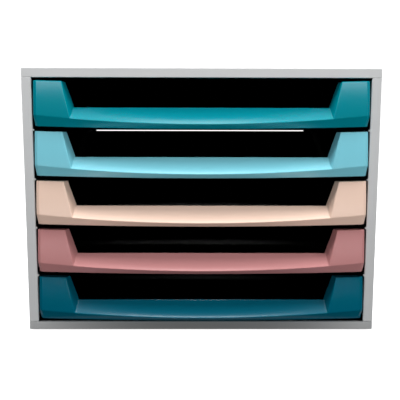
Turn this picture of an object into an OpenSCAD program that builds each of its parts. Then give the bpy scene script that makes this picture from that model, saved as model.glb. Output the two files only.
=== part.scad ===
// Desktop drawer unit: a light grey plastic casing with five open-front trays.
// Origin: middle of the whole unit's box, on the surface it stands on. Drawers open towards -Y.

/* [Casing] */
// Width of the casing over its side panels
case_w = 355; // [330:1:420]
// Depth of the casing from its front edge to its back
case_d = 270; // [255:1:340]
// Thickness of the top panel at its rim
top_t = 9.2; // [8:0.1:14]
// Thickness of the bottom panel at its rim
bottom_t = 8.3; // [8:0.1:14]
// Extra height between the top drawer and the top panel
head_room = 1.2; // [0:0.1:4]
// Width of a side panel's front rim
side_t = 9.6; // [8.5:0.1:14]
// How far a side panel's front rim goes back before the panel thins to its wall
rim_d = 3; // [2:0.1:6]
// Wall thickness of a side panel behind its rim
wall_t = 3.2; // [2:0.1:4]
// Thickness of the top and bottom panels between their ribs
skin_t = 3; // [2:0.1:5]
// Thickness of the ribs under the panels
rib_t = 2; // [1.5:0.1:4]
// Solid border around the ribbed area of the panels
border_w = 34; // [30:1:45]
// Ribbed fields across a panel
fields_x = 5; // [2:1:8]
// Ribbed fields along a panel
fields_y = 4; // [2:1:6]
// Chamfer on the panels' edges
edge_c = 0.5; // [0.3:0.1:1]

/* [Back panel] */
// Thickness of the back panel
back_t = 3; // [2:0.1:4]
// Gap beside the back panel, and behind the runner ledges
back_gap = 0.3; // [0.1:0.1:0.6]
// Half the length of a slot in the back panel
slot_half = 152; // [100:1:155]
// How far a slot reaches below the runner ledge of its level
slot_below = 1; // [0.5:0.5:8]
// How far a slot reaches above the runner ledge of its level
slot_above = 4; // [3:0.5:8]

/* [Runners] */
// Thickness of a runner ledge
ledge_t = 1.6; // [1.2:0.1:2]
// How far a runner ledge reaches in under the tray's wall
ledge_lap = 5; // [3:0.5:10]
// Thickness of the front posts inside the side panels, front to back
post_d = 10; // [9:0.5:14]
// Width of the rear posts, measured in from the side wall
rear_post_w = 14; // [12:0.5:20]
// Distance from the casing's front edge to the front posts
post_y = 44; // [30:1:60]
// Clearance from the tray's rim to the posts
post_gap = 1; // [0.5:0.1:2]
// How far a drawer stop reaches in over the tray's stop lug
stop_lap = 1.7; // [1:0.1:2.2]
// Height of the stops above their level
stop_z = 20; // [12:1:28]
// Height of a stop and of its lug
stop_h = 10; // [6:1:14]
// Gap between lug and stop when a drawer is fully open
stop_gap = 0.4; // [0.2:0.1:1]

/* [Drawers] */
// Number of drawers
drawer_count = 5; // [1:1:8]
// Height of one drawer's level
drawer_pitch = 49.3; // [46:0.1:70]
// Height of a drawer front below the next level
front_gap_z = 2.3; // [1.8:0.1:4]
// Gap between a drawer front and the level that it slides on
front_lift = 0.6; // [0.4:0.1:1.5]
// Gap beside a drawer front
front_gap_x = 2.2; // [1.5:0.1:3]

/* [Drawer front] */
// How far the crest stands out in front of the casing
crest_proud = 5; // [2:0.5:10]
// How far the top edge stands out in front of the casing
top_proud = 1.5; // [0:0.5:3]
// How far the bottom edge lies behind the casing's front
foot_set = 1.5; // [0:0.5:3]
// Height of the crest in the middle of the front
crest_mid_h = 4.5; // [3:0.1:7]
// Rise of the crest from the middle to an end
crest_rise = 8.8; // [4:0.1:10]
// Rise of the bottom edge, and of the top edge, from the middle to an end
foot_rise = 2.4; // [0.5:0.1:2.5]
// Height of the sill under the opening
sill_h = 21.1; // [18:0.1:26]
// Depth of the finger scoop from crest to sill
scoop_d = 10.5; // [8:0.5:14]
// How far the scoop sags in the middle; towards its ends it runs straight
scoop_sag = 1.6; // [0:0.1:2.4]
// How far the pillars' faces swell forward
face_bow = 0.5; // [0:0.1:0.8]
// Wall thickness of the front
front_wall = 2.4; // [1.8:0.1:3]
// Width of a pillar beside the opening at its top
pillar_w = 26.7; // [24:0.1:34]
// Slope of the opening's ends, in degrees from upright
cut_lean = 14.2; // [8:0.1:18]
// How much narrower each end of the opening is at the back, at its top
cut_in_top = 3; // [1:0.5:4]
// How much narrower each end of the opening is at the back, at the sill
cut_in_sill = 5.2; // [2:0.1:7]
// Width of the bevel on a front's outer edges
bevel_w = 3; // [1:0.5:4]
// Depth of that bevel
bevel_d = 1.6; // [0.5:0.1:2.5]

/* [Tray] */
// Wall thickness of a tray
tray_wall = 2; // [1.6:0.1:2.6]
// Thickness of a tray's floor
floor_t = 2; // [1.6:0.1:3]
// Running gap between a tray and its ledges
slide_gap = 0.3; // [0.2:0.1:0.5]
// Gap between a tray's rim and the ledge above it
rim_gap = 0.9; // [0.6:0.1:1.5]
// Gap beside a tray's rim
tray_gap = 1.7; // [1.2:0.1:2.5]
// How far a tray's rim reaches out from its wall
flange_w = 4.2; // [3.6:0.1:6]
// Thickness of a tray's rim
flange_t = 2; // [1.5:0.1:3]
// Gap behind a tray
rear_gap = 9; // [5:0.5:20]
// Radius of a tray's inside corners
corner_r = 6; // [3:0.5:12]
// Half the length of the dip in a tray's back wall
dip_half = 150; // [100:1:153]
// Depth of the dip in a tray's back wall
dip_d = 1.9; // [1:0.1:4]
// How far the tray's front wall hides behind the front's opening
reveal = 1; // [0.5:0.1:2]
// Length of the stop lug at a tray's rear, front to back
lug_l = 10; // [6:1:16]

/* [Fasteners and feet] */
// Radius of a screw's shank
screw_r = 1.4; // [1.2:0.1:1.6]
// Radius of a screw's head
head_r = 2.9; // [2.5:0.1:3.2]
// Height of a screw's head
head_h = 1.6; // [1.2:0.1:2]
// Clearance around shanks, pegs and feet
fit_gap = 0.05; // [0.02:0.01:0.1]
// Clearance around screw heads in their recesses
head_gap = 0.4; // [0.2:0.1:0.6]
// How far a screw or a peg reaches into its hole
grip_l = 10; // [7:0.5:12]
// Radius of the top panel's pegs
peg_r = 1.8; // [1.5:0.1:2]
// Height of a drawer front's lower screws above the front's foot
screw_low = 13; // [11:0.5:15]
// Distance between a drawer front's lower and upper screws
screw_rise = 21; // [14:0.5:24]
// Radius of a foot
foot_r = 8; // [6:0.5:12]
// Height of the casing above the surface it stands on
foot_h = 1.6; // [1:0.1:4]
// Depth of a foot's recess in the bottom panel
foot_seat = 0.6; // [0.3:0.1:1.5]
// Distance from the casing's sides and ends to a foot's centre
foot_inset = 24; // [22:1:26]

/* [Hidden] */
CASING_NODES = ["top_panel", "bottom_panel", "left_side_panel", "right_side_panel", "back_panel",
                "casing_screws", "back_screws", "rubber_feet"];

CASING_COLOR = [0.76, 0.77, 0.78];
DRAWER_COLORS = [[0.03, 0.49, 0.55], [0.46, 0.77, 0.82], [0.87, 0.76, 0.69], [0.69, 0.47, 0.48],
                 [0.02, 0.31, 0.39]];
TRAY_COLOR = [0.04, 0.04, 0.045];
STEEL_COLOR = [0.6, 0.6, 0.62];
RUBBER_COLOR = [0.1, 0.1, 0.1];

over = 1;               // how far a cutter runs past the face that it opens
scoop_steps = 8;        // flats from the sill down the scoop
face_steps = 4;         // flats up a pillar's face
span_steps = 20;        // flats along a front's width
$fn = 48;

front_y = crest_proud - (case_d + crest_proud) / 2;     // the casing's front edge
rear_y = front_y + case_d;
stack_z = foot_h + bottom_t;                            // top of the bottom panel
stack_h = drawer_count * drawer_pitch + head_room;
case_half = case_w / 2;
inner_half = case_half - side_t;                        // inside of the front rims
wall_half = case_half - wall_t;                         // inside of the side walls

front_half = inner_half - front_gap_x;
front_h = drawer_pitch - front_gap_z;
crest_y = -crest_proud;
sill_y = crest_y + scoop_d;
front_back = sill_y + front_wall;                       // back face of a front, from the casing's edge
cut_half = front_half - pillar_w;

flange_half = inner_half - tray_gap;
tray_half = flange_half - flange_w;
tray_top = drawer_pitch - ledge_t - rim_gap;
tray_back = case_d - back_t - rear_gap;
lug_y = tray_back - lug_l;
post_half = flange_half + post_gap;                     // inner face of the posts
stop_half = flange_half - stop_lap;
rear_post_d = rear_gap - 1;                             // the rear posts stand behind the trays
rear_post_y = case_d - back_t - rear_post_d;
travel = lug_y - (post_y + post_d) - stop_gap;          // how far a drawer opens

rear_x = wall_half - rear_post_w / 2;
post_places = [[(post_half + wall_half) / 2, post_y + post_d / 2],
               [rear_x, rear_post_y + rear_post_d / 2]];  // middle of each post
peg_h = grip_l - 0.5;
back_screw_zs = [stack_h / 6, stack_h / 2, stack_h * 5 / 6];
pillar_x = front_half - pillar_w / 2 + front_wall / 2;  // middle of a pillar's hollow
boss_r = screw_r + front_wall / 2 + 0.6;
recess_d = head_h + 0.4;

function level_z(n) = stack_z + (drawer_count - n) * drawer_pitch;
function crest_z(x) = crest_mid_h + crest_rise * pow(x / front_half, 2);
function foot_z(x) = foot_rise * pow(x / front_half, 2);
function top_z(x) = front_h - foot_rise + foot_z(x);

// Half the opening's width at depth y and height z of a front
function opening_half(y, z) =
    let (back = (y - crest_y) / (front_back - crest_y),
         low = (front_h - z) / (front_h - sill_h),
         top = cut_half - back * cut_in_top,
         sill = cut_half - (front_h - sill_h) * tan(cut_lean) - back * cut_in_sill)
    top + low * (sill - top);

function span(from, to, steps) = [for (i = [0:steps]) from + (to - from) * i / steps];

// Point of a pillar's face at x, from the crest at t = 0 to the top edge at t = 1
function face_point(x, t) =
    [crest_y + (crest_proud - top_proud) * t - 4 * face_bow * t * (1 - t),
     crest_z(x) + (top_z(x) - crest_z(x)) * t];

// Outline of a front at x, from its back bottom edge round the crest to its back top edge
function front_outline(x, set) =
    concat([[front_back, foot_z(x)], [foot_set + set, foot_z(x)]],
           [for (t = span(0, 1, face_steps)) face_point(x, t) + [set, 0]],
           [[front_back, top_z(x)]]);

// Point of the scoop at x, from the sill at t = 0 to the crest at t = 1
function scoop_point(x, t) =
    let (sag = scoop_sag * (1 - pow(x / cut_half, 2)))
    [sill_y - scoop_d * t, sill_h - (sill_h - crest_z(x)) * t - 4 * sag * t * (1 - t)];

// Outline of what the opening and the scoop take away at x
function scoop_outline(x) =
    concat([[front_back + over, sill_h]],
           [for (t = span(0, 1, scoop_steps)) scoop_point(x, t)],
           [scoop_point(x, 1 + over / scoop_d), [crest_y - over, front_h + over],
            [front_back + over, front_h + over]]);

// Solid through the outlines at each x, with as many points in each
module loft(xs, outlines) {
    n = len(outlines[0]);
    last = len(xs) - 1;
    polyhedron(
        points = [for (i = [0:last], p = outlines[i]) [xs[i], p[0], p[1]]],
        faces = concat(
            [[for (j = [0:n - 1]) n - 1 - j], [for (j = [0:n - 1]) last * n + j]],
            [for (i = [0:last - 1], j = [0:n - 1], half = [0, 1])
                let (a = i * n + j, b = i * n + (j + 1) % n)
                half == 0 ? [a, b, b + n] : [a, b + n, a + n]]));
}

module chamfered_rect(w, h, c)
    polygon([[c, 0], [w - c, 0], [w, c], [w, h - c], [w - c, h], [c, h], [0, h - c], [0, c]]);

// Box with a chamfer on every edge
module chamfered_box(size, c) {
    intersection() {
        linear_extrude(size.z) chamfered_rect(size.x, size.y, c);
        translate([0, size.y, 0]) rotate([90, 0, 0])
            linear_extrude(size.y) chamfered_rect(size.x, size.z, c);
        rotate([90, 0, 90]) linear_extrude(size.x) chamfered_rect(size.y, size.z, c);
    }
}

// Rectangle with round corners, made of true circles
module rounded_rect(w, d, r) {
    translate([r, 0]) square([w - 2 * r, d]);
    translate([0, r]) square([w, d - 2 * r]);
    for (x = [r, w - r], y = [r, d - r]) translate([x, y]) circle(r);
}

// Places a child at each foot, each post or both screws of each pillar
module at_feet()
    for (x = [-1, 1], y = [front_y + foot_inset, rear_y - foot_inset])
        translate([x * (case_half - foot_inset), y, 0]) children();

module at_posts()
    for (side = [-1, 1], place = post_places)
        translate([side * place.x, front_y + place.y, 0]) children();

module at_back_screws()
    for (x = [-1, 1], z = back_screw_zs) translate([x * rear_x, rear_y, stack_z + z]) children();

module at_front_screws()
    for (x = [-1, 1], z = [screw_low, screw_low + screw_rise])
        translate([x * pillar_x, 0, z]) children();

// Pan-head screw with a cross recess; its head stands on z = 0 and its shank points down
module screw(length) {
    difference() {
        union() {
            cylinder(r = head_r, h = head_h);
            translate([0, 0, -length]) cylinder(r = screw_r, h = length + head_h / 2);
        }
        for (turn = [0, 90]) rotate(turn)
            translate([-head_r * 0.6, -head_r * 0.13, head_h * 0.5]) cube([head_r * 1.2, head_r * 0.26, head_h]);
    }
}

// The hollow fields between a panel's ribs, seen from their open side at z = 0
module panel_fields(depth) {
    w = (case_w - 2 * border_w - (fields_x - 1) * rib_t) / fields_x;
    d = (case_d - 2 * border_w - (fields_y - 1) * rib_t) / fields_y;
    for (i = [0:fields_x - 1], j = [0:fields_y - 1])
        translate([-case_half + border_w + i * (w + rib_t), front_y + border_w + j * (d + rib_t), 0])
            cube([w, d, depth]);
}

module top_panel() {
    color(CASING_COLOR) translate([0, 0, stack_z + stack_h]) {
        difference() {
            translate([-case_half, front_y, 0]) chamfered_box([case_w, case_d, top_t], edge_c);
            translate([0, 0, -over]) panel_fields(top_t - skin_t + over);
        }
        at_posts() translate([0, 0, -peg_h]) cylinder(r = peg_r, h = peg_h + over);
    }
}

module bottom_panel() {
    color(CASING_COLOR) translate([0, 0, foot_h]) difference() {
        translate([-case_half, front_y, 0]) chamfered_box([case_w, case_d, bottom_t], edge_c);
        translate([0, 0, -over]) panel_fields(bottom_t - skin_t + over);
        at_feet() translate([0, 0, -over]) cylinder(r = foot_r + fit_gap, h = foot_seat + over);
        at_posts() {
            cylinder(r = screw_r + head_gap, h = bottom_t + over);
            translate([0, 0, -over]) cylinder(r = head_r + head_gap, h = recess_d + over);
        }
    }
}

// The right side panel, with x measured from the middle of the casing
module side_panel() {
    difference() {
        union() {
            translate([wall_half, front_y, stack_z])
                chamfered_box([wall_t, case_d, stack_h], edge_c);
            translate([inner_half, front_y, stack_z])
                chamfered_box([side_t, rim_d, stack_h], edge_c);
            translate([post_half, front_y + post_y, stack_z])
                cube([wall_half - post_half + wall_t / 2, post_d, stack_h]);
            translate([wall_half - rear_post_w, front_y + rear_post_y, stack_z])
                cube([rear_post_w + wall_t / 2, rear_post_d, stack_h]);
            for (n = [1:drawer_count]) translate([0, front_y, level_z(n)]) {
                translate([stop_half, post_y, stop_z]) cube([post_half - stop_half + over, post_d, stop_h]);
                if (n < drawer_count) runner_ledge();
            }
        }
        at_posts() translate([0, 0, stack_z]) {
            translate([0, 0, -over]) cylinder(r = screw_r + fit_gap, h = grip_l + over);
            translate([0, 0, stack_h - grip_l]) cylinder(r = peg_r + fit_gap, h = grip_l + over);
        }
        at_back_screws() rotate([90, 0, 0])
            cylinder(r = screw_r + fit_gap, h = back_t + rear_post_d - 1.5);
    }
}

// Ledge that a tray slides on, with a narrow tip that reaches forward to the rim
module runner_ledge() {
    ledge_half = tray_half - ledge_lap;
    tip_half = front_half + front_gap_x / 2;
    ledge_y = front_back + tray_wall;
    translate([ledge_half, ledge_y, -ledge_t])
        cube([wall_half - ledge_half + wall_t / 2, case_d - back_t - ledge_y - back_gap, ledge_t]);
    translate([tip_half, edge_c, -ledge_t])
        cube([wall_half - tip_half + wall_t / 2, ledge_y + edge_c, ledge_t]);
}

module right_side_panel() color(CASING_COLOR) side_panel();

module left_side_panel() color(CASING_COLOR) mirror([1, 0, 0]) side_panel();

module back_panel() {
    w = 2 * (wall_half - back_gap);
    color(CASING_COLOR) difference() {
        translate([-w / 2, rear_y - back_t, stack_z]) cube([w, back_t, stack_h]);
        for (n = [1:drawer_count - 1])
            translate([-slot_half, rear_y - back_t - over, level_z(n) - slot_below])
                cube([2 * slot_half, back_t + 2 * over, slot_below + slot_above]);
        at_back_screws() rotate([90, 0, 0]) {
            translate([0, 0, -over]) cylinder(r = screw_r + head_gap, h = back_t + 2 * over);
            translate([0, 0, -over]) cylinder(r = head_r + head_gap, h = recess_d + over);
        }
    }
}

module casing_screws() {
    color(STEEL_COLOR) translate([0, 0, foot_h + recess_d]) at_posts()
        rotate([180, 0, 0]) screw(bottom_t - recess_d + grip_l - 1);
}

module back_screws() {
    color(STEEL_COLOR) translate([0, -recess_d, 0]) at_back_screws()
        rotate([-90, 0, 0]) screw(back_t - recess_d + rear_post_d - 2);
}

module rubber_feet() {
    color(RUBBER_COLOR) at_feet() cylinder(r = foot_r, h = foot_h + foot_seat);
}

// Takes a drawer's pieces from the casing's front edge and their own level to their place
module at_level(n, lift = 0) translate([0, front_y, level_z(n) + lift]) children();

// Coloured front of a drawer: two pillars, an opening between them and a scoop under it
module drawer_front(n) {
    flat_half = front_half - bevel_w;
    xs = concat([-front_half], span(-flat_half, flat_half, span_steps), [front_half]);
    color(DRAWER_COLORS[(n - 1) % len(DRAWER_COLORS)]) at_level(n, front_lift) difference() {
        loft(xs, [for (x = xs) front_outline(x, abs(x) > flat_half ? bevel_d : 0)]);
        intersection() {
            loft(xs, [for (x = xs) scoop_outline(x)]);
            opening_block();
        }
        front_hollows();
    }
}

// The opening's sloping ends: a block that narrows downwards and backwards
module opening_block() {
    ys = [crest_y - 3 * over, front_back + 2 * over];
    zs = [0, front_h + 2 * over];
    points = [for (y = ys, z = zs, side = [-1, 1]) [side * opening_half(y, z), y, z]];
    hull() polyhedron(points, [[0, 1, 3, 2], [4, 6, 7, 5], [0, 4, 5, 1], [2, 3, 7, 6],
                               [0, 2, 6, 4], [1, 5, 7, 3]]);
}

// Hollows in the back of a front, around the bosses that take its screws
module front_hollows() {
    hollow_y = front_wall;
    pillar_in = cut_half + front_wall;
    pillar_out = front_half - front_wall;
    difference() {
        union() {
            for (side = [0, 1]) mirror([side, 0, 0])
                translate([pillar_in, hollow_y, foot_rise + front_wall])
                    cube([pillar_out - pillar_in, front_back, top_z(pillar_in) - foot_rise - 2 * front_wall]);
        }
        at_front_screws() rotate([-90, 0, 0]) cylinder(r = boss_r, h = front_back);
    }
    at_front_screws() translate([0, hollow_y, 0]) rotate([-90, 0, 0])
        cylinder(r = screw_r + fit_gap, h = front_back);
}

// Black tray: floor, walls with a rim along the sides, and a front wall with the front's opening
module drawer_tray(n) {
    inside = [2 * (tray_half - tray_wall), tray_back - front_back - 2 * tray_wall];
    color(TRAY_COLOR) at_level(n) difference() {
        union() {
            translate([-tray_half, front_back, slide_gap])
                cube([2 * tray_half, tray_back - front_back, tray_top - slide_gap]);
            translate([-flange_half, front_back + tray_wall, tray_top - flange_t])
                cube([2 * flange_half, tray_back - front_back - tray_wall, flange_t]);
            translate([-flange_half, lug_y, stop_z]) cube([2 * flange_half, lug_l, stop_h]);
        }
        translate([-inside.x / 2, front_back + tray_wall, slide_gap + floor_t])
            linear_extrude(tray_top) rounded_rect(inside.x, inside.y, corner_r);
        tray_opening();
        back_dip();
        translate([0, front_back, front_lift]) at_front_screws() rotate([-90, 0, 0]) {
            translate([0, 0, -over]) cylinder(r = screw_r + head_gap, h = tray_wall + 2 * over);
            translate([0, 0, tray_wall]) cylinder(r = head_r + head_gap, h = corner_r);
        }
    }
}

// The front's opening, carried on through the tray's front wall just out of sight
module tray_opening() {
    sill = sill_h - reveal;
    top = opening_half(front_back, front_h) + reveal;
    low = opening_half(front_back, sill) + reveal;
    translate([0, front_back + tray_wall + over, front_lift]) rotate([90, 0, 0])
        linear_extrude(tray_wall + 2 * over) polygon([[-low, sill], [low, sill], [top, front_h], [-top, front_h]]);
}

// Shallow dip along the top of the tray's back wall
module back_dip() {
    xs = span(-dip_half, dip_half, span_steps);
    arc = [for (x = xs) [x, tray_top - dip_d * (1 - pow(x / dip_half, 2))]];
    translate([0, tray_back + over, 0]) rotate([90, 0, 0]) linear_extrude(tray_wall + over + corner_r)
        polygon(concat(arc, [[dip_half, tray_top + over], [-dip_half, tray_top + over]]));
}

// Screws that hold a front to its tray, with their heads inside the tray
module drawer_screws(n) {
    color(STEEL_COLOR) at_level(n, front_lift) translate([0, front_back + tray_wall, 0])
        at_front_screws() rotate([-90, 0, 0]) screw(tray_wall + front_back - front_wall - 0.5);
}

top_panel();
bottom_panel();
left_side_panel();
right_side_panel();
back_panel();
casing_screws();
back_screws();
rubber_feet();
for (n = [1:drawer_count]) {
    drawer_front(n);
    drawer_tray(n);
    drawer_screws(n);
}
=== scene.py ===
import math

import bmesh
import bpy
from mathutils import Matrix, Vector


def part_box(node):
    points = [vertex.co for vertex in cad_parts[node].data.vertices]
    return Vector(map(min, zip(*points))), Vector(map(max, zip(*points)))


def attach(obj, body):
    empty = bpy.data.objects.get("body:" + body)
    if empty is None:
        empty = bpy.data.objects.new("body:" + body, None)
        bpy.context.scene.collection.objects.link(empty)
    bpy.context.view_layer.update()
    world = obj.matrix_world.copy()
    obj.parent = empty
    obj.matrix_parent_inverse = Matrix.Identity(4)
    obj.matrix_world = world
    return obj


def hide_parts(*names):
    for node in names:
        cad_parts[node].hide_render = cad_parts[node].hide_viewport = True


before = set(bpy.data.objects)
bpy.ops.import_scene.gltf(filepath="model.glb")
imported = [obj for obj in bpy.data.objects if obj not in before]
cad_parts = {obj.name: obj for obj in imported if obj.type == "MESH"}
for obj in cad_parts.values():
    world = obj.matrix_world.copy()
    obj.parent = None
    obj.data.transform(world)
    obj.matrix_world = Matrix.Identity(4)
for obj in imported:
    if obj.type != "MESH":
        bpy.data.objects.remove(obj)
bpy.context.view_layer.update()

MM = 0.001
DRAWERS = range(1, 6)                 # counted from the top

# ---- The casing's places, in metres, from the frame
panel_lo, panel_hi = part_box("right_side_panel")
top_lo, top_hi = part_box("top_panel")
back_lo, back_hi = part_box("back_panel")
bottom_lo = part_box("bottom_panel")[0]
FRONT_Y = top_lo.y                    # the casing's front edge
STACK_Z = panel_lo.z                  # the drawers fill the height from here
STACK_TOP = panel_hi.z                # to here

# ---- A drawer front, in metres
PILLAR_W = 26.7 * MM                  # a pillar's width at its top
CUT_LEAN = math.radians(14.2)         # slope of the opening's ends
CUT_IN_TOP = 3.0 * MM                 # the opening is narrower at its back by this, at its top
CUT_IN_SILL = 5.2 * MM                # and by this at the sill
SILL_H = 21.1 * MM                    # height of the opening's lower edge above the foot
SCOOP_D = 10.5 * MM                   # the finger scoop reaches this far behind the crest
SCOOP_SAG = 1.6 * MM                  # the scoop sags by this in the middle, and runs straight at its ends
FACE_BOW = 0.5 * MM                   # the pillars' faces swell forward by this
CREST_MID_H = 4.5 * MM                # height of the crest above the foot, in the middle
CREST_RISE = 8.8 * MM                 # and how much higher it is at the ends
FOOT_RISE = 2.4 * MM                  # rise of the bottom and the top edge from the middle to an end
TOP_BACK = 3.5 * MM                   # the top edge lies this far behind the crest
FOOT_BACK = 6.5 * MM                  # and the bottom edge this far
BEVEL_W = 3.0 * MM                    # bevel along a front's outer edges
BEVEL_D = 1.6 * MM

# ---- The mesh of a front
SCOOP_COLUMNS = 48
SCOOP_ROWS = 12
PILLAR_COLUMNS = 4
PILLAR_ROWS = 6
FACET_ROWS = 2
SCOOP_END_ROUNDS = 12                 # rounds in which the scoop's end is found
FRONT_WELD = 0.002 * MM               # points closer than this become one
EDGE_R = 0.7 * MM                     # rounding of every edge
EDGE_SEGMENTS = 3
EDGE_ANGLE = math.radians(22)         # edges that turn by less stay as they are

# ---- Colours, linear
WHITE = (1, 1, 1)
CASING_GREY = (0.75, 0.76, 0.765)
# painted shade: the casing's inner faces are grey plastic, but get this black because they lie in shade
PAINTED_INSIDE_SHADE = (0.0025, 0.0025, 0.003)
TRAY_BLACK = (0.004, 0.004, 0.0045)
FRONT_COLOURS = {
    1: (0.0, 0.205, 0.260),
    2: (0.185, 0.535, 0.635),
    3: (0.770, 0.560, 0.455),
    4: (0.450, 0.200, 0.200),
    5: (0.0, 0.090, 0.142),
}
STEEL = (0.55, 0.55, 0.57)
RUBBER = (0.012, 0.012, 0.012)
STAGE_GREY = (0.8, 0.8, 0.8)

# ---- Finishes: grain in features per metre, its depth in metres, and how much the colour varies
CASING_FINISH = dict(roughness=0.42, specular=0.4, grain=900, grain_depth=0.02 * MM, variation=0.03)
TRAY_FINISH = dict(roughness=0.5, specular=0.2, grain=1400, grain_depth=0.03 * MM, variation=0.1)
FRONT_FINISH = dict(roughness=0.2, specular=0.8, grain=1200, grain_depth=0.002 * MM, variation=0.015)
FOOT_FINISH = dict(roughness=0.75, specular=0.5, grain=1500, grain_depth=0.05 * MM, variation=0.2)
FLOW_SCALE = 25                       # flow marks, in features per metre
FLOW_FINENESS = (1, 1, 2.5)           # and finer by this along X, Y and Z
SHEEN_SCALE = 400
SHEEN_CHANGE = 0.01                   # the roughness varies by this, up and down
SCRATCH_SCALE = 500
SCRATCH_FINENESS = (1, 8, 1)
SCRATCH_DEPTH = 0.02 * MM
SCRATCH_SHADE = 0.8                   # a scratch is darker by this
STEEL_ROUGHNESS = (0.25, 0.4)
NOISE_RANGE = (0.3, 0.7)              # nearly all noise lies in this range

# ---- Where shade is painted black on the casing's inner faces
INSIDE_FROM = 3.4 * MM                # the rims are grey to this far behind the casing's front edge
TOP_SKIN = 2.5 * MM                   # the top panel is grey down to this depth
WALL_SLACK = 0.5 * MM                 # the painted shade reaches this far beyond the back panel's sides
FLOOR_SLACK = 0.1 * MM                # and this far below the side panels

# ---- Stage, in metres
STAGE_NEAR = -3.0
STAGE_FAR = 1.6
STAGE_HALF_W = 4.0
STAGE_H = 3.0
STAGE_CURVE_R = 0.8                   # the floor curves up into the backdrop with this radius
STAGE_CURVE_STEPS = 12
STAGE_GLOW = 0.95                     # strength of the stage's own light

# ---- Softboxes: degrees up and to the right of the front's axis, width and height in metres, and watts.
# Those without gloss show no highlight, those without diffuse show nothing but their highlight.
SOFTBOX_FAR = 1.3                     # their usual distance from the middle of the unit's front
SOFTBOXES = {
    "front_low": dict(elevation=-2, size=(1.4, 0.14), power=13.0, gloss=False),
    "overhead": dict(elevation=88, size=(1.4, 0.5), power=51.0, gloss=False),
    "right_fill": dict(elevation=20, azimuth=55, size=(0.6, 0.6), power=3.6, gloss=False),
    "front_sheen": dict(elevation=29, size=(1.4, 0.2), power=2.4, diffuse=False),
    "crest_sheen": dict(elevation=84, size=(0.26, 0.42), power=0.8, diffuse=False),
    "fourth_crest_sheen": dict(elevation=74, size=(0.26, 0.3), power=0.9, diffuse=False),
    "lowest_crest_sheen": dict(elevation=70, size=(0.26, 0.2), power=3.0, diffuse=False),
    "casing_key": dict(elevation=45, size=(1.4, 0.8), power=18.5, gloss=False),
    "base_front": dict(elevation=-2, size=(1.4, 0.14), power=1.8),
    "base_ends": dict(elevation=-28, azimuth=70, pair=True, size=(0.08, 0.04), power=0.036, far=0.235),
    "side_fill": dict(elevation=20, azimuth=100, pair=True, size=(0.8, 0.8), power=8.0),
    "rear_fill": dict(elevation=30, azimuth=180, size=(1.4, 0.6), power=10.0),
}
ON_EVERY_FRONT = ("front_low", "overhead", "right_fill")
LIT_BY = {
    "top_fronts": (*ON_EVERY_FRONT, "front_sheen", "crest_sheen"),
    "third_front": (*ON_EVERY_FRONT, "crest_sheen"),
    "fourth_front": (*ON_EVERY_FRONT, "fourth_crest_sheen"),
    "lowest_front": (*ON_EVERY_FRONT, "lowest_crest_sheen"),
    "base": ("base_front", "base_ends", "side_fill", "rear_fill"),
    "rest": ("casing_key", "side_fill", "rear_fill"),
}

# ---- Camera, worked out from the corners of the casing's front in the photograph
PIXELS = 400                          # the photograph is this wide and high
FOCAL_PIXELS = 560
SENSOR = 36.0                         # width of the camera's sensor, in millimetres
CAMERA_BACK = 560.4 * MM              # in front of the casing's front edge
CAMERA_RIGHT = -5.3 * MM              # of the casing's middle, so a little to its left
CAMERA_UP = 203.4 * MM                # above the casing's underside
CAMERA_PITCH = math.radians(6.954)    # downwards
CAMERA_YAW = math.radians(0.381)      # to the right
CAMERA_ROLL = math.radians(0.128)     # counter-clockwise, seen from behind the camera
UPRIGHT = math.radians(90)            # turns a camera or a lamp from facing down to facing ahead


# ---- Node helpers
def new_material(name):
    material = bpy.data.materials.new(name)
    material.use_nodes = True
    return material, material.node_tree.nodes["Principled BSDF"]


def object_place(tree):
    """The object's own coordinates, in metres."""
    return tree.nodes.new("ShaderNodeTexCoord").outputs["Object"]


def set_inputs(node, values):
    for name, value in values.items():
        node.inputs[name].default_value = value


def noise(tree, place, scale, detail, fineness=(1, 1, 1)):
    """Noise with scale features per metre, and finer along each axis by its fineness."""
    mapping = tree.nodes.new("ShaderNodeMapping")
    set_inputs(mapping, {"Scale": fineness})
    tree.links.new(place, mapping.inputs["Vector"])
    texture = tree.nodes.new("ShaderNodeTexNoise")
    set_inputs(texture, {"Scale": scale, "Detail": detail})
    tree.links.new(mapping.outputs["Vector"], texture.inputs["Vector"])
    return texture.outputs["Fac"]


def spread(tree, value, low, high):
    """Noise spread over low to high."""
    node = tree.nodes.new("ShaderNodeMapRange")
    noise_low, noise_high = NOISE_RANGE
    set_inputs(node, {"From Min": noise_low, "From Max": noise_high, "To Min": low, "To Max": high})
    tree.links.new(value, node.inputs["Value"])
    return node.outputs["Result"]


def math_node(tree, operation, *values):
    """The operation on values, which are numbers or sockets."""
    node = tree.nodes.new("ShaderNodeMath")
    node.operation = operation
    for socket, value in zip(node.inputs, values):
        if isinstance(value, (int, float)):
            socket.default_value = value
        else:
            tree.links.new(value, socket)
    return node.outputs[0]


def mix_colours(tree, factor, first, second):
    """A mix of two colours, which are tuples or sockets: the first at factor 0, the second at factor 1."""
    node = tree.nodes.new("ShaderNodeMix")
    node.data_type = "RGBA"
    tree.links.new(factor, node.inputs["Factor"])
    for name, value in (("A", first), ("B", second)):
        socket = next(s for s in node.inputs if s.name == name and s.type == "RGBA")
        if isinstance(value, tuple):
            socket.default_value = (*value, 1)
        else:
            tree.links.new(value, socket)
    return next(s for s in node.outputs if s.type == "RGBA")


def bump(tree, shader, height, distance):
    node = tree.nodes.new("ShaderNodeBump")
    set_inputs(node, {"Distance": distance})
    tree.links.new(height, node.inputs["Height"])
    tree.links.new(node.outputs["Normal"], shader.inputs["Normal"])


def shade(colour, factor):
    return tuple(min(1.0, c * factor) for c in colour)


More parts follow.
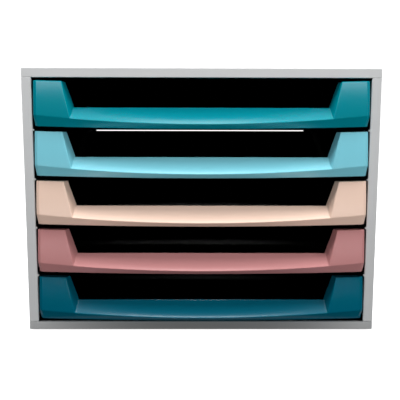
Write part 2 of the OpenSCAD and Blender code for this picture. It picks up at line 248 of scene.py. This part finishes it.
# ---- Materials
def plastic(name, colour, roughness, specular, grain, grain_depth, variation, inside_shade=None):
    """Moulded plastic: a fine grain, faint flow marks in the colour and an uneven sheen.

    On the casing, shade is painted black over the inner faces.
    """
    material, shader = new_material(name)
    tree = material.node_tree
    place = object_place(tree)
    flow = noise(tree, place, FLOW_SCALE, detail=1, fineness=FLOW_FINENESS)
    tint = mix_colours(tree, flow, shade(colour, 1 - variation), shade(colour, 1 + variation))
    # painted shade: the casing's inner faces are coloured black where they lie in shade
    if inside_shade:
        tint = mix_colours(tree, painted_shade_mask(tree, place), tint, inside_shade)
    tree.links.new(tint, shader.inputs["Base Color"])
    sheen = noise(tree, place, SHEEN_SCALE, detail=1)
    uneven = spread(tree, sheen, roughness - SHEEN_CHANGE, roughness + SHEEN_CHANGE)
    tree.links.new(uneven, shader.inputs["Roughness"])
    shader.inputs["Specular IOR Level"].default_value = specular
    bump(tree, shader, noise(tree, place, grain, detail=4), grain_depth)
    return material


def painted_shade_mask(tree, place):
    """1 on the casing's inner faces behind its front rims, where shade is painted black, and 0 on
    everything seen from outside.
    """
    axes = tree.nodes.new("ShaderNodeSeparateXYZ")
    tree.links.new(place, axes.inputs[0])
    x, y, z = axes.outputs
    tests = [
        math_node(tree, "LESS_THAN", math_node(tree, "ABSOLUTE", x), back_hi.x + WALL_SLACK),
        math_node(tree, "GREATER_THAN", y, FRONT_Y + INSIDE_FROM),
        math_node(tree, "LESS_THAN", y, (back_lo.y + back_hi.y) / 2),
        math_node(tree, "GREATER_THAN", z, STACK_Z - FLOOR_SLACK),
        math_node(tree, "LESS_THAN", z, top_hi.z - TOP_SKIN),
    ]
    mask = tests[0]
    for test in tests[1:]:
        mask = math_node(tree, "MULTIPLY", mask, test)
    return mask


def casing_plastic():
    """Grey outside, with shade painted black on its inner faces, because the photograph shows only black
    behind the fronts.
    """
    return plastic("casing_plastic", CASING_GREY, inside_shade=PAINTED_INSIDE_SHADE, **CASING_FINISH)


def tray_plastic():
    return plastic("tray_plastic", TRAY_BLACK, **TRAY_FINISH)


def front_plastic(number):
    return plastic(f"front_{number}_plastic", FRONT_COLOURS[number], **FRONT_FINISH)


def foot_rubber():
    return plastic("foot_rubber", RUBBER, **FOOT_FINISH)


def screw_steel():
    material, shader = new_material("screw_steel")
    tree = material.node_tree
    shader.inputs["Metallic"].default_value = 1
    scratches = noise(tree, object_place(tree), SCRATCH_SCALE, detail=3, fineness=SCRATCH_FINENESS)
    tint = mix_colours(tree, scratches, shade(STEEL, SCRATCH_SHADE), STEEL)
    tree.links.new(tint, shader.inputs["Base Color"])
    tree.links.new(spread(tree, scratches, *STEEL_ROUGHNESS), shader.inputs["Roughness"])
    bump(tree, shader, scratches, SCRATCH_DEPTH)
    return material


def stage_white():
    """Pale and slightly luminous, so that the shadow on it stays faint."""
    material, shader = new_material("stage_white")
    set_inputs(shader, {
        "Base Color": (*STAGE_GREY, 1),
        "Roughness": 0.9,
        "Specular IOR Level": 0.1,
        "Emission Color": (*WHITE, 1),
        "Emission Strength": STAGE_GLOW,
    })
    return material


# ---- Shape of a drawer front
def lerp(a, b, t):
    return a + (b - a) * t


def arc(t):
    """A parabola that is 0 at t = 0 and t = 1, and 1 halfway."""
    return 4 * t * (1 - t)


def steps(count, low=0.0, high=1.0):
    return [lerp(low, high, i / count) for i in range(count + 1)]


class FrontShape:
    """A drawer front's surfaces as functions, for the space that its CAD node fills."""

    def __init__(self, node):
        lo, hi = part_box(node)
        self.half = hi.x
        self.crest_y = lo.y
        self.back_y = hi.y
        self.foot = lo.z
        self.top = hi.z
        self.sill = lo.z + SILL_H
        self.cut_half = self.half - PILLAR_W
        self.flat_half = self.half - BEVEL_W
        self.sill_back = self.opening_half(self.back_y, self.sill)
        self.crest_half = self.scoop_half(0)
        self.pillar_top = self.top_z(self.cut_half)     # height of the pillars' tops at the opening

    def outwards(self, x):
        """0 in the middle of the front and 1 at its sides, as a parabola."""
        return (x / self.half) ** 2

    def foot_z(self, x):
        return self.foot + FOOT_RISE * self.outwards(x)

    def crest_z(self, x):
        return self.foot + CREST_MID_H + CREST_RISE * self.outwards(x)

    def top_z(self, x):
        return self.top - FOOT_RISE * (1 - self.outwards(x))

    def depth(self, y):
        """How far back y lies, from 0 at the crest to 1 at the back."""
        return (y - self.crest_y) / (self.back_y - self.crest_y)

    def opening_half(self, y, z):
        """Half the opening's width at y and z."""
        low = (self.top - z) / (self.top - self.sill)
        top = self.cut_half - self.depth(y) * CUT_IN_TOP
        lean = (self.top - self.sill) * math.tan(CUT_LEAN)
        sill = self.cut_half - lean - self.depth(y) * CUT_IN_SILL
        return lerp(top, sill, low)

    def scoop(self, x, t):
        """Point of the scoop at x, from the crest at t = 0 to the sill at t = 1."""
        sag = SCOOP_SAG * (1 - (x / self.cut_half) ** 2)
        z = lerp(self.crest_z(x), self.sill, t) - sag * arc(t)
        return Vector((x, self.crest_y + SCOOP_D * t, z))

    def scoop_half(self, t):
        """How far out the scoop reaches at t, where it meets the opening's end."""
        x = self.cut_half
        for _ in range(SCOOP_END_ROUNDS):
            point = self.scoop(x, t)
            x = self.opening_half(point.y, point.z)
        return x

    def face_y(self, t):
        """Depth of the pillars' faces, from the crest at t = 0 to the top at t = 1."""
        return self.crest_y + TOP_BACK * t - FACE_BOW * arc(t)

    def pillar(self, v, t):
        """Point of the right pillar's face: v runs outwards, t upwards from the crest."""
        y = self.face_y(t)
        inner = self.opening_half(y, lerp(self.crest_z(self.crest_half), self.pillar_top, t))
        base = self.crest_z(lerp(self.crest_half, self.flat_half, v))
        top = self.top_z(lerp(self.cut_half, self.flat_half, v))
        return Vector((lerp(inner, self.flat_half, v), y, lerp(base, top, t)))

    def pillar_feet(self):
        """X of the right pillar's columns at the crest, and of its bevel's outer edge."""
        return [lerp(self.crest_half, self.flat_half, v) for v in steps(PILLAR_COLUMNS)] + [self.half]

    def side_edge(self, t):
        """Point of the bevel's outer edge, from the crest's height at t = 0 to the top at t = 1."""
        return Vector((self.half, self.face_y(t) + BEVEL_D, lerp(self.crest_z(self.half), self.top, t)))

    def facet(self, x, t):
        """Point of the facet under the crest, from the crest at t = 0 to the foot at t = 1."""
        bevel = BEVEL_D if x > self.flat_half else 0
        return Vector((x, self.crest_y + bevel + FOOT_BACK * t, lerp(self.crest_z(x), self.foot_z(x), t)))

    def end_wall(self, low, t):
        """Point of the opening's end, at t from its lowest point up to the pillar's top."""
        y = lerp(self.face_y(t), self.back_y, self.depth(low.y))
        z = lerp(low.z, self.pillar_top, t)
        return Vector((self.opening_half(y, z), y, z))

    def at_back(self, x, z):
        return Vector((x, self.back_y, z))


# ---- Rows of points over a front's surfaces; those of a pillar are for the right one
def scoop_rows(shape):
    """Up the whole scoop, and the last row at the back of the sill."""
    across = steps(SCOOP_COLUMNS, -1, 1)
    rows = [[shape.scoop(u * shape.scoop_half(t), t) for u in across] for t in steps(SCOOP_ROWS)]
    return rows + [[shape.at_back(u * shape.sill_back, shape.sill) for u in across]]


def facet_rows(shape, xs):
    """Down the facet under the crest, and the last row at the back of the underside."""
    rows = [[shape.facet(x, t) for x in xs] for t in steps(FACET_ROWS)]
    return rows + [[shape.at_back(x, shape.foot_z(x)) for x in xs]]


def pillar_rows(shape):
    """Up the pillar's face, each row with a point of the bevel's outer edge."""
    columns = steps(PILLAR_COLUMNS)
    return [[shape.pillar(v, t) for v in columns] + [shape.side_edge(t)] for t in steps(PILLAR_ROWS)]


def end_wall_rows(shape):
    """Up the opening's end, from the scoop and the sill to the pillar's top."""
    lows = [shape.scoop(shape.scoop_half(t), t) for t in steps(SCOOP_ROWS)]
    lows.append(shape.at_back(shape.sill_back, shape.sill))
    return [[shape.end_wall(low, t) for low in lows] for t in steps(PILLAR_ROWS)]


def back_outline(shape):
    """Along the flat back's foot, up its side, and down the opening's end."""
    foot = [(x, shape.foot_z(x)) for x in shape.pillar_feet()[1:]]
    up = [(shape.half, shape.facet(shape.half, t).z) for t in reversed(steps(FACET_ROWS)[:-1])]
    up += [(shape.half, shape.side_edge(t).z) for t in steps(PILLAR_ROWS)[1:]]
    inner = shape.opening_half(shape.back_y, shape.pillar_top)
    columns = reversed(steps(PILLAR_COLUMNS))
    top = [(lerp(inner, shape.flat_half, v), shape.pillar(v, 1).z) for v in columns]
    down = [lerp(shape.pillar_top, shape.sill, t) for t in steps(PILLAR_ROWS)[1:-1]]
    return foot + up + top + [(shape.opening_half(shape.back_y, z), z) for z in down]


# ---- Mesh of a drawer front
def add_face(bm, points, side=1):
    """One face round the points, mirrored to the left for side -1."""
    bm.faces.new([bm.verts.new((p.x * side, p.y, p.z)) for p in points])


def add_patch(bm, rows, side=1):
    """Quads over a grid of points."""
    for low, high in zip(rows, rows[1:]):
        for a, b, c, d in zip(low, low[1:], high[1:], high):
            add_face(bm, (a, b, c, d), side)


def add_front_middle(bm, shape):
    """The scoop, the sill behind it, and the facet and the underside below it."""
    add_patch(bm, scoop_rows(shape))
    add_patch(bm, facet_rows(shape, [u * shape.crest_half for u in steps(SCOOP_COLUMNS, -1, 1)]))


def add_pillar_top(bm, shape, front, inner, side):
    """The pillar's top, between the last row of its face and the last one of the opening's end."""
    columns = zip(steps(PILLAR_COLUMNS), front)
    back = [shape.at_back(lerp(inner[-1].x, shape.flat_half, v), p.z) for v, p in columns]
    back.append(shape.at_back(shape.half, shape.top))
    add_face(bm, inner + [back[1], front[1]], side)
    add_patch(bm, [front[1:], back[1:]], side)


def add_front_side(bm, shape, side):
    """A pillar with its bevel, the facet below it, its outer side, its end of the opening and its top."""
    facet = facet_rows(shape, shape.pillar_feet())
    face = pillar_rows(shape)
    wall = end_wall_rows(shape)
    add_patch(bm, facet, side)
    add_patch(bm, face, side)
    edge = [row[-1] for row in reversed(facet[:-1])] + [row[-1] for row in face[1:]]
    add_patch(bm, [edge, [shape.at_back(p.x, p.z) for p in edge]], side)
    add_patch(bm, wall, side)
    add_pillar_top(bm, shape, face[-1], wall[-1], side)


def add_front_back(bm, shape):
    """The flat back as one face."""
    across = steps(SCOOP_COLUMNS, -1, 1)
    half = back_outline(shape)
    foot = [(u * shape.crest_half, shape.foot_z(u * shape.crest_half)) for u in across]
    sill = [(u * shape.sill_back, shape.sill) for u in reversed(across)]
    loop = foot + half + sill + [(-x, z) for x, z in reversed(half)]
    add_face(bm, [shape.at_back(x, z) for x, z in loop])


def smooth_mesh(name, bm):
    mesh = bpy.data.meshes.new(name)
    bm.to_mesh(mesh)
    bm.free()
    mesh.polygons.foreach_set("use_smooth", [True] * len(mesh.polygons))
    return mesh


def front_mesh(shape):
    """The whole front as one closed mesh, built patch by patch."""
    bm = bmesh.new()
    add_front_middle(bm, shape)
    for side in (-1, 1):
        add_front_side(bm, shape, side)
    add_front_back(bm, shape)
    bmesh.ops.remove_doubles(bm, verts=bm.verts, dist=FRONT_WELD)
    bmesh.ops.recalc_face_normals(bm, faces=bm.faces)
    if any(len(edge.link_faces) != 2 for edge in bm.edges):
        raise RuntimeError("the front's mesh isn't closed")
    return smooth_mesh("front", bm)


def round_edges(piece):
    """Rounds the piece's edges and keeps its flat faces flat."""
    rounding = piece.modifiers.new("rounding", "BEVEL")
    rounding.limit_method = "ANGLE"
    rounding.angle_limit = EDGE_ANGLE
    rounding.width = EDGE_R
    rounding.segments = EDGE_SEGMENTS
    rounding.use_clamp_overlap = True
    normals = piece.modifiers.new("normals", "WEIGHTED_NORMAL")
    normals.keep_sharp = True


# ---- Pieces
def new_object(name, data):
    thing = bpy.data.objects.new(name, data)
    bpy.context.scene.collection.objects.link(thing)
    return thing


def front_shell(number):
    """A drawer's front with rounded edges, in place of its CAD node."""
    body = f"drawer_{number}"
    node = f"{body}_front"
    piece = new_object(f"front_shell_{number}", front_mesh(FrontShape(node)))
    piece.data.materials.append(front_plastic(number))
    round_edges(piece)
    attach(piece, body)
    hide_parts(node)
    return piece


def dress_nodes():
    """Gives the CAD nodes that stay visible their materials."""
    casing, tray, steel, rubber = casing_plastic(), tray_plastic(), screw_steel(), foot_rubber()
    for name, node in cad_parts.items():
        if name.endswith("_front"):
            continue
        material = casing
        if name.endswith("_tray"):
            material = tray
        elif name.endswith("screws"):
            material = steel
        elif name.endswith("feet"):
            material = rubber
        node.data.materials.clear()
        node.data.materials.append(material)


# ---- Stage, light and camera
def stage_profile():
    """Places (y, z) along the floor, round the curve and up the backdrop."""
    curve_y = STAGE_FAR - STAGE_CURVE_R
    profile = [(STAGE_NEAR, 0.0), (curve_y, 0.0)]
    for angle in steps(STAGE_CURVE_STEPS, 0, math.radians(90))[1:]:
        rise = STAGE_CURVE_R - STAGE_CURVE_R * math.cos(angle)
        profile.append((curve_y + STAGE_CURVE_R * math.sin(angle), rise))
    return profile + [(STAGE_FAR, STAGE_H)]


def add_stage():
    """A pale floor that curves up into a backdrop."""
    bm = bmesh.new()
    ends = (-STAGE_HALF_W, STAGE_HALF_W)
    add_patch(bm, [[Vector((x, y, z)) for x in ends] for y, z in stage_profile()])
    bmesh.ops.remove_doubles(bm, verts=bm.verts, dist=MM)
    floor = new_object("floor", smooth_mesh("floor", bm))
    floor.data.materials.append(stage_white())
    floor.visible_diffuse = False
    floor.visible_glossy = False
    return floor


def add_world():
    """White behind everything; it gives no light, so that the softboxes shape the object alone."""
    world = bpy.data.worlds.new("studio")
    bpy.context.scene.world = world
    world.use_nodes = True
    set_inputs(world.node_tree.nodes["Background"], {"Color": (*WHITE, 1), "Strength": 1.0})
    world.cycles_visibility.diffuse = False
    world.cycles_visibility.glossy = False


def add_softbox(name, group, elevation, size, power, azimuth=0, pair=False,
                diffuse=True, gloss=True, far=SOFTBOX_FAR):
    """An area light turned to the middle of the unit's front; a pair has its second one on the left."""
    middle = Vector((0, FRONT_Y, (STACK_Z + STACK_TOP) / 2))
    rise = math.radians(elevation)
    for side in (-1, 1) if pair else (1,):
        turn = side * math.radians(azimuth)
        light = bpy.data.lights.new(name, "AREA")
        light.shape = "RECTANGLE"
        light.size, light.size_y = size
        light.energy = power
        lamp = new_object(name, light)
        lamp.rotation_euler = (UPRIGHT - rise, 0, turn)
        away = (math.sin(turn) * math.cos(rise), -math.cos(turn) * math.cos(rise), math.sin(rise))
        lamp.location = middle + far * Vector(away)
        lamp.light_linking.receiver_collection = group
        lamp.visible_diffuse = diffuse
        lamp.visible_glossy = gloss
        lamp.visible_camera = False


def light_groups(shells, floor):
    """What each group of softboxes lights. A piece in two groups looks different from render to render."""
    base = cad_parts["bottom_panel"]
    return {
        "top_fronts": shells[:2],
        "third_front": shells[2:3],
        "fourth_front": shells[3:4],
        "lowest_front": shells[4:],
        "base": [base],
        "rest": [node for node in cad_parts.values() if node is not base] + [floor],
    }


def add_lights(shells, floor):
    for name, things in light_groups(shells, floor).items():
        group = bpy.data.collections.new(f"lit_{name}")
        for thing in things:
            group.objects.link(thing)
        for softbox in LIT_BY[name]:
            add_softbox(softbox, group, **SOFTBOXES[softbox])


def add_camera():
    data = bpy.data.cameras.new("camera")
    data.sensor_width = SENSOR
    data.lens = FOCAL_PIXELS * SENSOR / PIXELS
    camera = new_object("camera", data)
    place = Vector((CAMERA_RIGHT, FRONT_Y - CAMERA_BACK, bottom_lo.z + CAMERA_UP))
    yaw = Matrix.Rotation(-CAMERA_YAW, 4, "Z")
    pitch = Matrix.Rotation(UPRIGHT - CAMERA_PITCH, 4, "X")
    roll = Matrix.Rotation(CAMERA_ROLL, 4, "Z")
    camera.matrix_world = Matrix.Translation(place) @ yaw @ pitch @ roll
    bpy.context.scene.camera = camera


add_camera()
add_world()
dress_nodes()
add_lights([front_shell(number) for number in DRAWERS], add_stage())
bpy.context.scene.view_settings.view_transform = "Standard"

bpy.context.view_layer.update()
